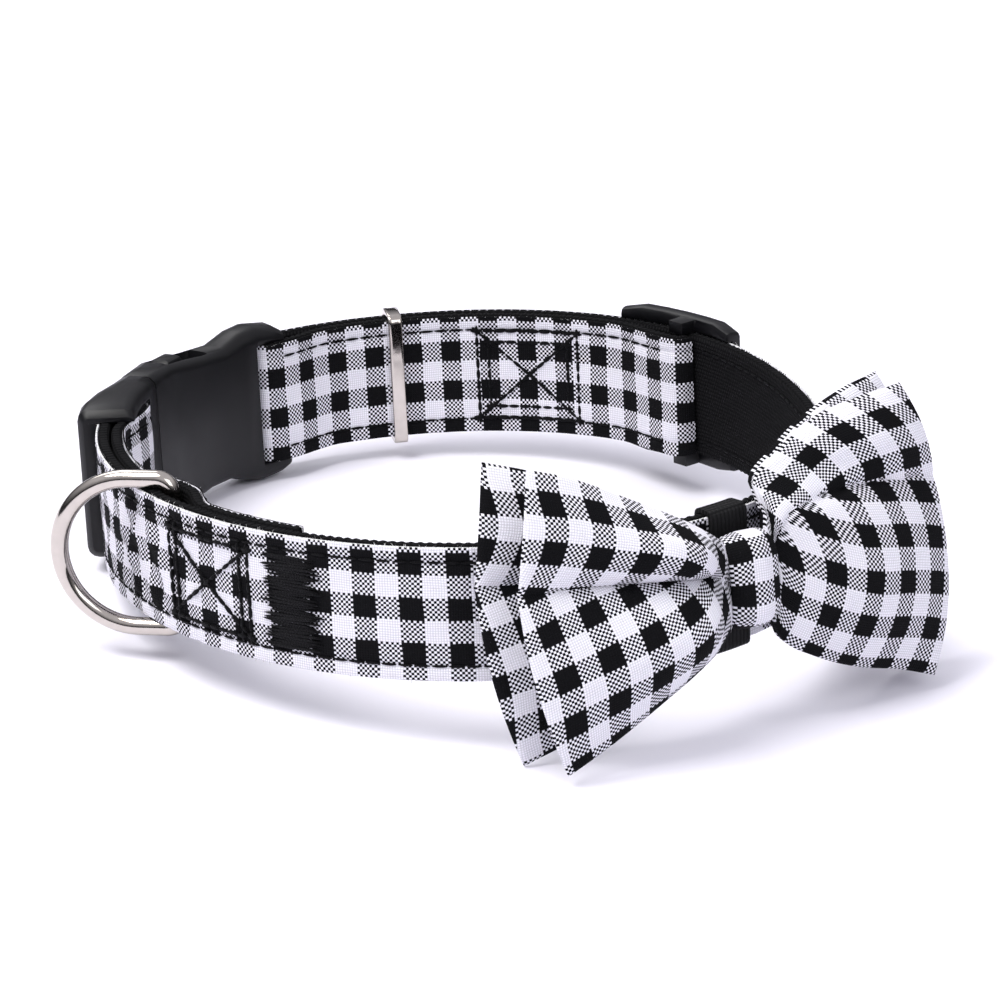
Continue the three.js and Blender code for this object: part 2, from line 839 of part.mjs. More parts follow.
const bow = new THREE.Group();
bow.add(
  piece("bow_front", bowLayer(frontWidth, "frontSweep", frontDepth), gingham),
  piece("bow_back", bowLayer(backWidth, "backSweep", backDepth), gingham),
  piece("bow_knot", bowKnot(), gingham),
);
const bowSeat = outerFace + 2 * clearance + elasticThickness;
const leanRoom = (knotHeight / 2) * Math.sin(radians(bowLean));
const turnRoom = (knotWidth / 2) * Math.sin(radians(bowTurn));
const straightOut = onStrap(bowAt, 1, 0).sub(onStrap(bowAt, 0, 0));
const bowHeading = Math.atan2(straightOut.x, -straightOut.y) - radians(bowTurn);
bow.position.copy(onStrap(bowAt, bowSeat + leanRoom + turnRoom, bowUp));
bow.rotation.set(-radians(bowLean), 0, bowHeading, "ZXY");

strap.add(piece("bow_elastic", bowElastic(), webbingBlack));

const collar = new THREE.Group();
collar.add(strap, buckle, bow);

function lowest(group) {
  return new THREE.Box3().setFromObject(group, true).min.z;
}

// The collar leans back until the bow's lower corners and the buckle touch one level surface.
function restLean() {
  let low = 0;
  let high = 20;
  for (let i = 0; i < 30; i++) {
    const middle = (low + high) / 2;
    collar.rotation.x = -radians(middle);
    collar.updateMatrixWorld(true);
    if (lowest(bow) < lowest(buckle)) low = middle;
    else high = middle;
  }
  return (low + high) / 2;
}

collar.rotation.x = -radians(restLean());
const petCollar = new THREE.Group();
petCollar.add(collar);
petCollar.updateMatrixWorld(true);

const box = new THREE.Box3().setFromObject(petCollar, true);
const centre = box.getCenter(new THREE.Vector3());
collar.position.set(-centre.x, -centre.y, -box.min.z);

export default petCollar;
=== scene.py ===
import json
import math
import bpy
import numpy as np
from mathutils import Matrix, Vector


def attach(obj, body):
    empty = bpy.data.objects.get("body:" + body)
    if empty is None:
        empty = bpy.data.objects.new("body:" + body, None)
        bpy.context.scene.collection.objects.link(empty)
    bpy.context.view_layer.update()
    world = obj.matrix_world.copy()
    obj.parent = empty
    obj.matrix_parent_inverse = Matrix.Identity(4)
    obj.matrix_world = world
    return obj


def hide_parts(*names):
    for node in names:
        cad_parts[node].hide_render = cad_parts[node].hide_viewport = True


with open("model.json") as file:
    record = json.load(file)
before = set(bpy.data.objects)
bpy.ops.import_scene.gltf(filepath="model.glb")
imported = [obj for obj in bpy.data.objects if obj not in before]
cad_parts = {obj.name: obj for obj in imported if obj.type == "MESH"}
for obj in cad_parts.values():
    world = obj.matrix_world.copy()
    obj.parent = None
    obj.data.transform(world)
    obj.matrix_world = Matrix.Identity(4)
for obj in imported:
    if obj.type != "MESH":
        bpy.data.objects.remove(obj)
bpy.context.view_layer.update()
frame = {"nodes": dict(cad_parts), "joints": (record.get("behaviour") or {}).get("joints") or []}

# The line of the strap. The webbing runs once round the neck on a round bent by a few waves, and
# leans back with the whole collar. Places on it are given as along, out and up, in millimetres,
# and the D-ring's hinge in the record says how the collar leans and where it stands.
loop_length = 445.0
front_bearing = -88.5
loop_waves = [(1, 0.0205, 112.0), (2, 0.0653, 76.7), (3, 0.0141, 24.9), (4, 0.007, 14.1)]
flat_bearing, flat_span, flat_share = 116.0, 42.0, 0.012
loop_steps = 3600
bearings = front_bearing - np.linspace(0, 360, loop_steps + 1)
radius = 1 + sum(s * np.cos(o * np.radians(bearings - p)) for o, s, p in loop_waves)
off_flat = np.abs((bearings - flat_bearing + 540) % 360 - 180)
radius -= flat_share * (1 + np.cos(np.pi * np.minimum(off_flat / flat_span, 1))) / 2
loop = radius[:, None] * np.stack([np.cos(np.radians(bearings)), np.sin(np.radians(bearings))], 1)
run = np.r_[0, np.cumsum(np.linalg.norm(np.diff(loop, axis=0), axis=1))]
loop *= loop_length / run[-1]
run *= loop_length / run[-1]


def loop_point(along):
    wrapped = np.mod(along, loop_length)
    return np.stack([np.interp(wrapped, run, loop[:, 0]), np.interp(wrapped, run, loop[:, 1])], -1)


def on_strap_bare(along, out, up):
    """A place on the strap before the collar leans, in millimetres."""
    along, out, up = np.broadcast_arrays(*(np.asarray(v, float) for v in (along, out, up)))
    here = loop_point(along)
    heading = loop_point(along + 1) - loop_point(along - 1)
    heading /= np.linalg.norm(heading, axis=-1, keepdims=True)
    x = here[..., 0] - heading[..., 1] * out
    y = here[..., 1] + heading[..., 0] * out
    return np.stack([x, y, up], -1)


clearance = 0.3
strap_width, webbing_thick, facing_thick = 25.0, 1.4, 1.0
d_ring_at, ring_wire = 122.5, 3.4
joint = frame["joints"][0]
hinge_up = np.array(joint["axis"], float)
lean_turn = np.array([[1, 0, 0], [0, hinge_up[2], hinge_up[1]], [0, -hinge_up[1], hinge_up[2]]])
hinge_out = -(webbing_thick / 2 + clearance + ring_wire / 2)
hinge_bare = on_strap_bare(d_ring_at, hinge_out, 0.0)
collar_place = np.array(joint["pos_m"]) * 1000 - lean_turn @ hinge_bare


def placed(bare):
    """Points of the collar as it stands, in metres."""
    return (np.asarray(bare) @ lean_turn.T + collar_place) / 1000


def on_strap(along, out, up):
    return placed(on_strap_bare(along, out, up))


def in_scene(name, data):
    """A new object in the scene."""
    item = bpy.data.objects.new(name, data)
    bpy.context.scene.collection.objects.link(item)
    return item


# The studio: a white floor under even white light from above and from the left. The camera is 22
# degrees above the floor and 40 degrees round from the bow, and aims at the floor inside the loop.
aim_x, aim_y = 0.033, 0.030
camera_distance, camera_rise, camera_round = 0.82, math.radians(22), math.radians(40)
sensor_width, focal_pixels, picture_pixels = 36.0, 4000, 1001
target = np.array([aim_x + collar_place[0] / 1000, aim_y + collar_place[1] / 1000, 0.0])
back_off = camera_distance * np.array([
    -math.cos(camera_rise) * math.sin(camera_round),
    -math.cos(camera_rise) * math.cos(camera_round),
    math.sin(camera_rise),
])
camera = in_scene("camera", bpy.data.cameras.new("camera"))
camera.data.sensor_width = sensor_width
camera.data.lens = sensor_width * focal_pixels / picture_pixels
camera.data.clip_start = 0.01
camera.location = Vector(target + back_off)
camera.rotation_euler = (Vector(target) - camera.location).to_track_quat("-Z", "Y").to_euler()
bpy.context.scene.camera = camera
bpy.context.scene.view_settings.view_transform = "Standard"

world = bpy.data.worlds.new("studio")
bpy.context.scene.world = world
world.use_nodes = True
sky = world.node_tree
sky.nodes["Background"].inputs["Color"].default_value = (0.94, 0.93, 1.0, 1)
direction = sky.nodes.new("ShaderNodeTexCoord")
upward = sky.nodes.new("ShaderNodeSeparateXYZ")
brighter = sky.nodes.new("ShaderNodeMapRange")
brighter.inputs["From Min"].default_value = 0.12
brighter.inputs["From Max"].default_value = 0.6
brighter.inputs["To Min"].default_value = 0.04
brighter.inputs["To Max"].default_value = 0.8
sky.links.new(direction.outputs["Generated"], upward.inputs[0])
sky.links.new(upward.outputs["Z"], brighter.inputs["Value"])
sky.links.new(brighter.outputs["Result"], sky.nodes["Background"].inputs["Strength"])

light_aim = Vector((0, 0, 0.02))
lights = [
    ("key", (-0.7, 0.2, 1.5), 0.9, 27.0, (1.0, 0.99, 0.97)),
    ("fill", (-0.1, -1.4, 1.1), 1.0, 8.0, (0.97, 0.98, 1.0)),
    ("rim", (0.2, 1.3, 1.2), 0.9, 7.0, (1.0, 1.0, 1.0)),
]
for name, place, size, power, colour in lights:
    lamp = bpy.data.lights.new(name, "AREA")
    lamp.size = size
    lamp.energy = power
    lamp.color = colour
    stand = in_scene(name, lamp)
    stand.location = place
    stand.rotation_euler = (light_aim - Vector(place)).to_track_quat("-Z", "Y").to_euler()

floor_mesh = bpy.data.meshes.new("floor")
floor_reach, floor_drop = 6.0, 0.0002
floor_corners = [(x * floor_reach, y * floor_reach, 0) for x, y in ((-1, -1), (1, -1), (1, 1), (-1, 1))]
floor_mesh.from_pydata(floor_corners, [], [(0, 1, 2, 3)])
floor = in_scene("floor", floor_mesh)
floor.location.z = -floor_drop
floor_paint = bpy.data.materials.new("floor")
floor_paint.use_nodes = True
floor_shader = floor_paint.node_tree.nodes["Principled BSDF"]
floor_shader.inputs["Base Color"].default_value = (0.9, 0.885, 0.97, 1)
floor_shader.inputs["Roughness"].default_value = 0.6
floor_mesh.materials.append(floor_paint)


# The webbing: black ribbed nylon, one length that starts hooked on the slider, turns round the
# buckle's bar, runs once round the neck, turns round the other half's bar and ends past the ring.
half_width = strap_width / 2
layer_pitch = webbing_thick + clearance
buckle_at, male_length, female_length, anchor_bar_at = 168.5, 21.0, 44.8, 11.5
strap_bar, slider_at, post_shift, post_thick = 2.6, 325.5, 2.5, 1.6
anchor_bar = buckle_at + anchor_bar_at
adjuster_bar = buckle_at + male_length + female_length - strap_bar
post_at = slider_at + post_shift
anchor_end = 86.0
turn_points, hook_points = 19, 9


def ease(x):
    t = np.clip(x, 0, 1)
    return t * t * (3 - 2 * t)


def return_depth(along):
    """How far inside the main run the middle of the turned-back webbing lies."""
    # Each row: where a piece lies between the layers, its thickness, and the half lengths of
    # the flat and of the whole hump that it makes.
    spreaders = [
        (anchor_bar, strap_bar, 2.0, 16.0),
        (d_ring_at, ring_wire, 1.5, 13.0),
        (adjuster_bar, strap_bar, 2.0, 16.0),
        (post_at, post_thick, 3.0, 18.0),
    ]
    extra = np.zeros_like(np.asarray(along, float))
    for at, thick, flat, span in spreaders:
        hump = 1 - ease((np.abs(along - at) - flat) / (span - flat))
        extra = np.maximum(extra, hump * (thick + clearance))
    return layer_pitch + extra


def strap_path(step):
    """The webbing's middle as rows of along and out, in the order that it runs."""
    def turn(at, turn_radius, first, last):
        angle = np.radians(np.linspace(first, last, turn_points))
        return np.stack([at + turn_radius * np.cos(angle), turn_radius * (np.sin(angle) - 1)], 1)

    def straight(first, last):
        return np.linspace(first, last, max(2, round(abs(last - first) / step)))[1:-1]

    post_radius = (post_thick + webbing_thick) / 2 + clearance
    hook = np.radians(np.linspace(10, -90, hook_points))
    depth = return_depth(post_at) - post_radius
    start = np.stack([post_at + post_radius * np.cos(hook), -depth + post_radius * np.sin(hook)], 1)
    back = straight(post_at, adjuster_bar)
    main_end = loop_length + anchor_bar
    main = straight(adjuster_bar, main_end)
    tail = straight(anchor_bar, anchor_end - step)
    return np.concatenate([
        start,
        np.stack([back, -return_depth(back)], 1),
        turn(adjuster_bar, return_depth(adjuster_bar) / 2, 270, 90),
        np.stack([main, 0 * main], 1),
        turn(main_end, return_depth(anchor_bar) / 2, 90, -90),
        np.stack([tail + loop_length, -return_depth(tail)], 1),
    ])


selvedge_pitch, rim_width, rim_share = 1.7, 0.5, 0.6


def ribbon(name, path, left, right, across, relief=None, scallop=0.0, phase=0.0):
    """A cloth strip along the path, between left and right of it, with a UV map in millimetres.
    across lists the places over its width, relief lifts the left face, and a scallop makes the
    selvedge wavy. Phase moves the checks across the strip."""
    heading = np.gradient(path, axis=0)
    heading /= np.linalg.norm(heading, axis=1, keepdims=True)
    length = np.r_[0, np.cumsum(np.linalg.norm(np.diff(path, axis=0), axis=1))]
    lifted = path + np.stack([-heading[:, 1], heading[:, 0]], 1) * left
    woven = np.r_[0, np.cumsum(np.linalg.norm(np.diff(lifted, axis=0), axis=1))]
    full_from, full_to = rim_width, strap_width - rim_width
    drawn = np.interp(across, [0, full_from, full_to, strap_width], [rim_share, 1, 1, rim_share])
    middle, half = (left + right) / 2, (left - right) / 2
    columns = []
    for face, order in ((1, range(len(across))), (-1, range(len(across) - 1, -1, -1))):
        for k in order:
            distance = middle + face * half * drawn[k] + 0 * length
            if relief is not None:
                distance = distance + relief(path[:, 0], length, across[k], face)
            along = path[:, 0] - heading[:, 1] * distance
            out = path[:, 1] + heading[:, 0] * distance
            at_selvedge = min(k, len(across) - 1 - k) < 2
            outward = 1 if across[k] > half_width else -1
            rise = scallop * np.abs(np.sin(math.pi * length / selvedge_pitch)) * outward * at_selvedge
            columns.append(on_strap(along, out, across[k] - half_width + rise))
    grid = np.stack(columns, 1)
    rows, around = grid.shape[:2]
    i, j = np.meshgrid(np.arange(rows - 1), np.arange(around), indexing="ij")
    k = (j + 1) % around
    faces = np.stack([i * around + j, i * around + k, (i + 1) * around + k, (i + 1) * around + j], -1)
    faces = faces.reshape(-1, 4)
    mesh = bpy.data.meshes.new(name)
    ends = [list(range(around)), list(range(rows * around - 1, (rows - 1) * around - 1, -1))]
    mesh.from_pydata(grid.reshape(-1, 3).tolist(), [], faces.tolist() + ends)
    v = np.r_[across, across[::-1]]
    rim = np.zeros(around, bool)
    rim[[len(across) - 1, around - 1]] = True
    v_next = np.where(rim, v, np.roll(v, -1))
    u0, u1 = np.broadcast_to(woven[:-1, None], i.shape), np.broadcast_to(woven[1:, None], i.shape)
    moved = np.broadcast_to(phase, length.shape)[:-1, None]
    va, vb = v + moved, v_next + moved
    uv = np.stack([np.stack(c, -1) for c in ((u0, va), (u0, vb), (u1, vb), (u1, va))], 2).reshape(-1, 2)
    layer = mesh.uv_layers.new(name="cloth")
    padded = np.concatenate([uv, np.zeros((2 * around, 2))])
    layer.data.foreach_set("uv", padded.ravel())
    mesh.polygons.foreach_set("use_smooth", np.ones(len(mesh.polygons), bool))
    index = np.zeros(len(mesh.polygons), np.int32)
    index[: len(faces)] = np.broadcast_to(rim, i.shape).ravel()
    index[len(faces):] = 1
    piece = in_scene(name, mesh)
    return piece, index, float(length[-1])


def number(tree, operation, a, b=None):
    """A Math node on sockets or plain numbers."""
    node = tree.nodes.new("ShaderNodeMath")
    node.operation = operation
    for k, value in enumerate((a, b)):
        if isinstance(value, (int, float)):
            node.inputs[k].default_value = value
        elif value is not None:
            tree.links.new(value, node.inputs[k])
    return node.outputs[0]


def rounded(tree, yarn):
    """The round height of a yarn, from a place that is counted in yarns."""
    return number(tree, "ABSOLUTE", number(tree, "SINE", number(tree, "MULTIPLY", yarn, math.pi)))


def mixed(tree, factor, first, second):
    """A colour between two colours."""
    node = tree.nodes.new("ShaderNodeMix")
    node.data_type = "RGBA"
    tree.links.new(factor, node.inputs["Factor"])
    tree.links.new(first, node.inputs["A"])
    tree.links.new(second, node.inputs["B"])
    return node.outputs["Result"]


def scaled(tree, colour, factor):
    """A colour made darker or lighter by a factor."""
    node = tree.nodes.new("ShaderNodeVectorMath")
    node.operation = "SCALE"
    tree.links.new(colour, node.inputs[0])
    tree.links.new(factor, node.inputs["Scale"])
    return node.outputs[0]


def noise(tree, vector, scale, detail):
    """The outputs of a noise texture. Its scale is a plain number or a socket."""
    node = tree.nodes.new("ShaderNodeTexNoise")
    node.inputs["Detail"].default_value = detail
    tree.links.new(vector, node.inputs["Vector"])
    if isinstance(scale, float):
        node.inputs["Scale"].default_value = scale
    else:
        tree.links.new(scale, node.inputs["Scale"])
    return node.outputs


def new_group(name, inputs, outputs):
    """An empty shader group with named sockets: (name, kind, default)."""
    group = bpy.data.node_groups.new(name, "ShaderNodeTree")
    for title, kind, default in inputs:
        socket = group.interface.new_socket(title, in_out="INPUT", socket_type="NodeSocket" + kind)
        if default is not None:
            socket.default_value = default
    for title, kind in outputs:
        group.interface.new_socket(title, in_out="OUTPUT", socket_type="NodeSocket" + kind)
    return group, group.nodes.new("NodeGroupInput").outputs, group.nodes.new("NodeGroupOutput").inputs


def shaded(name, group, settings, vector, roughness, relief, gloss=0.15, metallic=0.0):
    """A Principled material whose colour and bump come from a group that reads a vector in
    millimetres: the piece's own UV map, or its object coordinates."""
    material = bpy.data.materials.new(name)
    material.use_nodes = True
    tree = material.node_tree
    shader = tree.nodes["Principled BSDF"]
    shader.inputs["Roughness"].default_value = roughness
    shader.inputs["Specular IOR Level"].default_value = gloss
    shader.inputs["Metallic"].default_value = metallic
    node = tree.nodes.new("ShaderNodeGroup")
    node.node_tree = group
    for title, value in settings.items():
        node.inputs[title].default_value = value
    if vector == "cloth":
        source = tree.nodes.new("ShaderNodeUVMap")
        source.uv_map = "cloth"
        tree.links.new(source.outputs[0], node.inputs["Vector"])
    else:
        source = tree.nodes.new("ShaderNodeTexCoord")
        scale = tree.nodes.new("ShaderNodeVectorMath")
        scale.operation = "SCALE"
        scale.inputs["Scale"].default_value = 1000.0
        tree.links.new(source.outputs["Object"], scale.inputs[0])
        tree.links.new(scale.outputs[0], node.inputs["Vector"])
    bump = tree.nodes.new("ShaderNodeBump")
    bump.inputs["Distance"].default_value = relief
    bump.inputs["Strength"].default_value = 1.0
    tree.links.new(node.outputs["Height"], bump.inputs["Height"])
    tree.links.new(node.outputs["Color"], shader.inputs["Base Color"])
    tree.links.new(bump.outputs[0], shader.inputs["Normal"])
    if "Roughness" in node.outputs:
        tree.links.new(node.outputs["Roughness"], shader.inputs["Roughness"])
    return material


rib, g_in, g_out = new_group(
    "ribbed weave",
    [("Vector", "Vector", None), ("Pitch", "Float", 0.8), ("Dark", "Color", (0.0015, 0.0015, 0.002, 1)),
     ("Light", "Color", (0.014, 0.014, 0.015, 1))],
    [("Color", "Color"), ("Height", "Float")],
)
split = rib.nodes.new("ShaderNodeSeparateXYZ")
rib.links.new(g_in["Vector"], split.inputs[0])
yarn_u = number(rib, "DIVIDE", split.outputs[0], g_in["Pitch"])
yarn_v = number(rib, "DIVIDE", split.outputs[1], g_in["Pitch"])
odd = number(rib, "MULTIPLY", number(rib, "FLOOR", yarn_v), 0.5)
knob = number(rib, "MULTIPLY", rounded(rib, number(rib, "ADD", yarn_u, odd)), rounded(rib, yarn_v))
fuzz = noise(rib, g_in["Vector"], 3.0, 3.0)["Fac"]
height = number(rib, "ADD", knob, number(rib, "MULTIPLY", fuzz, 0.4))
# The colour goes from Dark between the yarns to Light on each yarn's raised top: a painted highlight on the
# ridges and painted shade between them, with a little random tone from the noise.
tint = mixed(rib, number(rib, "MULTIPLY", height, 0.7), g_in["Dark"], g_in["Light"])
rib.links.new(tint, g_out["Color"])
rib.links.new(height, g_out["Height"])
webbing_weave = shaded("webbing_weave", rib, {"Pitch": 0.8}, "cloth", 0.85, 0.00025, gloss=0.05)

webbing_across = np.r_[0, 0.3, 0.9, np.linspace(3, 22, 7), 24.1, 24.7, 25.0]
face_out = webbing_thick / 2 + clearance + facing_thick
cloth_thick, under_facing, selvedge_wave = 0.5, 0.05, 0.28
fine_path = strap_path(0.42)
path = strap_path(1.3)
webbing, _, strap_run = ribbon(
    "webbing_strip", fine_path, face_out - cloth_thick - under_facing, -webbing_thick / 2,
    webbing_across, scallop=selvedge_wave,
)
webbing.data.materials.append(webbing_weave)
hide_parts("webbing")
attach(webbing, "collar")


# The facing: plain-woven cotton gingham in black and white checks, cut to the strap's width and
# topstitched on it. Mixed checks show as fine black and white dots, and its cut edges fray white.
check_repeat, yarns_per_repeat = 8.5, 18
weave, g_in, g_out = new_group(
    "gingham weave",
    [("Vector", "Vector", None), ("Repeat", "Float", check_repeat),
     ("Yarn", "Float", check_repeat / yarns_per_repeat),
     ("Dark", "Color", (0.003, 0.003, 0.004, 1)), ("Light", "Color", (0.82, 0.81, 0.88, 1))],
    [("Color", "Color"), ("Height", "Float")],
)
wander = noise(weave, g_in["Vector"], 0.25, 4.0)
shift = weave.nodes.new("ShaderNodeVectorMath")
shift.operation = "MULTIPLY_ADD"
weave.links.new(wander["Color"], shift.inputs[0])
shift.inputs[1].default_value = (0.5, 0.5, 0.0)
weave.links.new(g_in["Vector"], shift.inputs[2])
split = weave.nodes.new("ShaderNodeSeparateXYZ")
weave.links.new(shift.outputs[0], split.inputs[0])
bands, yarns, domes = [], [], []
for axis in (0, 1):
    turns = number(weave, "DIVIDE", split.outputs[axis], g_in["Repeat"])
    bands.append(number(weave, "LESS_THAN", number(weave, "FRACT", turns), 0.5))
    yarn = number(weave, "DIVIDE", split.outputs[axis], g_in["Yarn"])
    yarns.append(number(weave, "FLOOR", yarn))
    domes.append(rounded(weave, yarn))
over = number(weave, "FLOORED_MODULO", number(weave, "ADD", yarns[0], yarns[1]), 2.0)
warp = number(weave, "MULTIPLY", over, bands[0])
weft = number(weave, "MULTIPLY", number(weave, "SUBTRACT", 1.0, over), bands[1])
black = number(weave, "ADD", warp, weft)
dome = number(weave, "MULTIPLY", domes[0], domes[1])
height = number(weave, "ADD", dome, number(weave, "MULTIPLY", wander["Fac"], 0.3))
tint = mixed(weave, black, g_in["Light"], g_in["Dark"])
# Each yarn is lighter at its middle and darker at its sides: painted shade between the yarns, over the
# checks' own colours.
shade = number(weave, "ADD", number(weave, "MULTIPLY", dome, 0.4), 0.72)
weave.links.new(scaled(weave, tint, shade), g_out["Color"])
weave.links.new(height, g_out["Height"])
gingham = shaded("gingham", weave, {}, "cloth", 0.85, 0.00009, gloss=0.1)

streaks, g_in, g_out = new_group(
    "frayed yarn",
    [("Vector", "Vector", None), ("Density", "Float", 2.2), ("Dark", "Color", (0.08, 0.08, 0.08, 1)),
     ("Light", "Color", (0.8, 0.8, 0.8, 1))],
    [("Color", "Color"), ("Height", "Float")],
)
grain = noise(streaks, g_in["Vector"], g_in["Density"], 5.0)["Fac"]
spread = streaks.nodes.new("ShaderNodeMapRange")
spread.inputs["From Min"].default_value = 0.3
spread.inputs["From Max"].default_value = 0.55
streaks.links.new(grain, spread.inputs["Value"])
streaks.links.new(mixed(streaks, spread.outputs[0], g_in["Dark"], g_in["Light"]), g_out["Color"])
streaks.links.new(grain, g_out["Height"])
cut_edge = shaded("cut_edge", streaks, {}, "cloth", 0.9, 0.0002)

stitch_inset, stitch_pitch = 2.8, 3.1
facing_across = np.r_[0, 0.2, 0.5, 1.0, 1.6, 2.2, 2.6, 2.8, 3.0, 3.4, 4.2, np.linspace(5.2, 19.8, 12)]
facing_across = np.r_[facing_across, strap_width - facing_across[:11][::-1]]


furrow_depth, furrow_span = 0.25, 0.45
pull_depth, pull_inset, pull_span = 0.09, 1.9, 1.2
slack_depth, slack_inset, slack_span = 0.1, 8.0, 5.0
crease_depth, crease_at, crease_reach = 0.55, 128.0, 19.0
crumple_depth, box_middle, box_reach = 0.16, 105.0, 13.0


def bell(x, at, span):
    """One at a place, and near nothing twice its span away."""
    return np.exp(-(((x - at) / span) ** 2))


def pucker(along, length, across, face):
    """Stitch furrows near both edges, slack between them, creases by the D-ring and small
    crumples inside the boxed cross."""
    if face < 0:
        return 0 * along
    near_edge = min(across, strap_width - across)
    furrow = -furrow_depth * bell(near_edge, stitch_inset, furrow_span)
    pulls = pull_depth * np.sin(2 * math.pi * length / stitch_pitch) * bell(near_edge, pull_inset, pull_span)
    slack = slack_depth * np.sin(length / 5.3 + across / 3.0) * bell(near_edge, slack_inset, slack_span)
    place = np.mod(along, loop_length)
    by_ring = bell(place, crease_at, crease_reach) * bell(near_edge, 9, 9)
    creases = np.abs(np.sin(0.55 * place + 0.35 * across)) ** 3 + 0.6 * np.sin(0.9 * place - 0.5 * across)
    crumple = crumple_depth * np.sin(1.7 * place + 1.1 * across) * np.sin(0.8 * across - 0.5 * place)
    in_box = np.exp(-(((place - box_middle) / box_reach) ** 4))
    return furrow + pulls + slack + in_box * crumple + by_ring * crease_depth * (creases - 0.5)


# The checks' places across the strap on the first returned stretch and on the rest, and the
# stretch of the main run whose cut edges are worn dark.
return_phase, main_phase = 9.65, 5.4
dark_from, dark_to = 190.0, 318.0
main_run = -0.1
on_return = np.arange(len(path)) < np.argmax(path[:, 1] > main_run)
facing, index, facing_run = ribbon(
    "gingham_facing", path, face_out, face_out - cloth_thick, facing_across, pucker,
    phase=np.where(on_return, return_phase, main_phase),
)
facing.data.materials.append(gingham)
facing.data.materials.append(cut_edge)
facing.data.materials.append(webbing_weave)
place = np.mod(path[:, 0], loop_length)
worn_dark = (path[:, 1] < main_run) | ((place > dark_from) & (place < dark_to))
per_row = np.repeat(worn_dark[:-1], 2 * len(facing_across))
index[: len(per_row)] = np.where(per_row & (index[: len(per_row)] == 1), 2, index[: len(per_row)])
facing.data.polygons.foreach_set("material_index", index)
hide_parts("facing")
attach(facing, "collar")

# The frayed edges: short loose yarns of the cotton that stand out of the facing's cut edges,
# laid at random along both edges, most of them white.
dice = np.random.default_rng(7)
fray_count, fray_steps, fray_sink = 1500, 3, 0.15
shortest, longest, dark_share = 0.25, 0.95, 0.3
thinnest, thickest, tip_taper = 0.06, 0.11, 0.6
fray_spread, fray_drift, fray_wave = 0.5, 0.55, 0.1
outer_edge = face_out - cloth_thick / 2
pick = dice.integers(2, len(path) - 2, fray_count)
spot = path[pick] + (path[pick + 1] - path[pick]) * dice.random((fray_count, 1))
way = path[pick + 1] - path[pick - 1]
way /= np.linalg.norm(way, axis=1, keepdims=True)
side = np.where(dice.random(fray_count) < 0.5, -1.0, 1.0)
points, strips = [], []
for k in range(fray_count):
    distance = outer_edge + dice.uniform(-fray_spread, fray_spread)
    base = np.array([spot[k, 0] - way[k, 1] * distance, spot[k, 1] + way[k, 0] * distance])
    outward = np.array([-way[k, 1], way[k, 0]])
    drift = way[k] * dice.normal(0, fray_drift)
    reach = dice.uniform(shortest, longest) * (dark_share if worn_dark[pick[k]] else 1.0)
    width = dice.uniform(thinnest, thickest)
    first = len(points)
    for step in range(fray_steps + 1):
        t = step / fray_steps
        spine = base + drift * t * t + outward * dice.normal(0, fray_wave) * t
        up = side[k] * (half_width - fray_sink + reach * t * (1 - 0.25 * t))
        for half in (-0.5, 0.5):
            along, out = spine + way[k] * half * width * (1 - tip_taper * t)
            points.append(on_strap(along, out, up))
        if step:
            pair = first + 2 * step
            strips.append((pair - 2, pair - 1, pair + 1, pair))
fray_mesh = bpy.data.meshes.new("frayed_edges")
fray_mesh.from_pydata([tuple(p) for p in points], [], strips)
fray = in_scene("frayed_edges", fray_mesh)
fray_mesh.materials.append(shaded("loose_yarn", streaks, {"Density": 0.5}, "object", 0.9, 0.0001))
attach(fray, "collar")


# The stitching: black polyester thread. A running topstitch holds the facing along both edges,
# a boxed cross holds each folded end, and a dense satin bar closes the end by the bow.
stitcher = bpy.data.node_groups.new("running stitch", "GeometryNodeTree")
for title, kind in (("Geometry", "Geometry"), ("Pitch", "Float"), ("Length", "Float"),
                    ("Thickness", "Float"), ("Seed", "Int"), ("Thread", "Material")):
    stitcher.interface.new_socket(title, in_out="INPUT", socket_type="NodeSocket" + kind)
stitcher.interface.new_socket("Geometry", in_out="OUTPUT", socket_type="NodeSocketGeometry")
given = stitcher.nodes.new("NodeGroupInput").outputs
result = stitcher.nodes.new("NodeGroupOutput").inputs
link = stitcher.links.new
to_curve = stitcher.nodes.new("GeometryNodeMeshToCurve")
spaced = stitcher.nodes.new("GeometryNodeResampleCurve")
spaced.mode = "LENGTH"
bead = stitcher.nodes.new("GeometryNodeMeshUVSphere")
bead.inputs["Segments"].default_value = 8
bead.inputs["Rings"].default_value = 6
bead.inputs["Radius"].default_value = 0.5
shape = stitcher.nodes.new("GeometryNodeTransform")
size = stitcher.nodes.new("ShaderNodeCombineXYZ")
smooth = stitcher.nodes.new("GeometryNodeSetShadeSmooth")
tangent = stitcher.nodes.new("GeometryNodeInputTangent")
aim = stitcher.nodes.new("FunctionNodeAlignRotationToVector")
aim.axis = "X"
vary = stitcher.nodes.new("FunctionNodeRandomValue")
vary.data_type = "FLOAT"
vary.inputs[2].default_value = 0.88
vary.inputs[3].default_value = 1.08
spread = stitcher.nodes.new("GeometryNodeInstanceOnPoints")
real = stitcher.nodes.new("GeometryNodeRealizeInstances")
dye = stitcher.nodes.new("GeometryNodeSetMaterial")
link(given["Geometry"], to_curve.inputs["Mesh"])
link(to_curve.outputs["Curve"], spaced.inputs["Curve"])
link(given["Pitch"], spaced.inputs["Length"])
link(given["Length"], size.inputs["X"])
link(given["Thickness"], size.inputs["Y"])
link(given["Thickness"], size.inputs["Z"])
link(bead.outputs["Mesh"], shape.inputs["Geometry"])
link(size.outputs[0], shape.inputs["Scale"])
link(shape.outputs["Geometry"], smooth.inputs["Geometry"])
link(tangent.outputs["Tangent"], aim.inputs["Vector"])
link(given["Seed"], vary.inputs["Seed"])
link(spaced.outputs["Curve"], spread.inputs["Points"])
link(smooth.outputs["Geometry"], spread.inputs["Instance"])
link(aim.outputs["Rotation"], spread.inputs["Rotation"])
link(vary.outputs[1], spread.inputs["Scale"])
link(spread.outputs["Instances"], real.inputs["Geometry"])
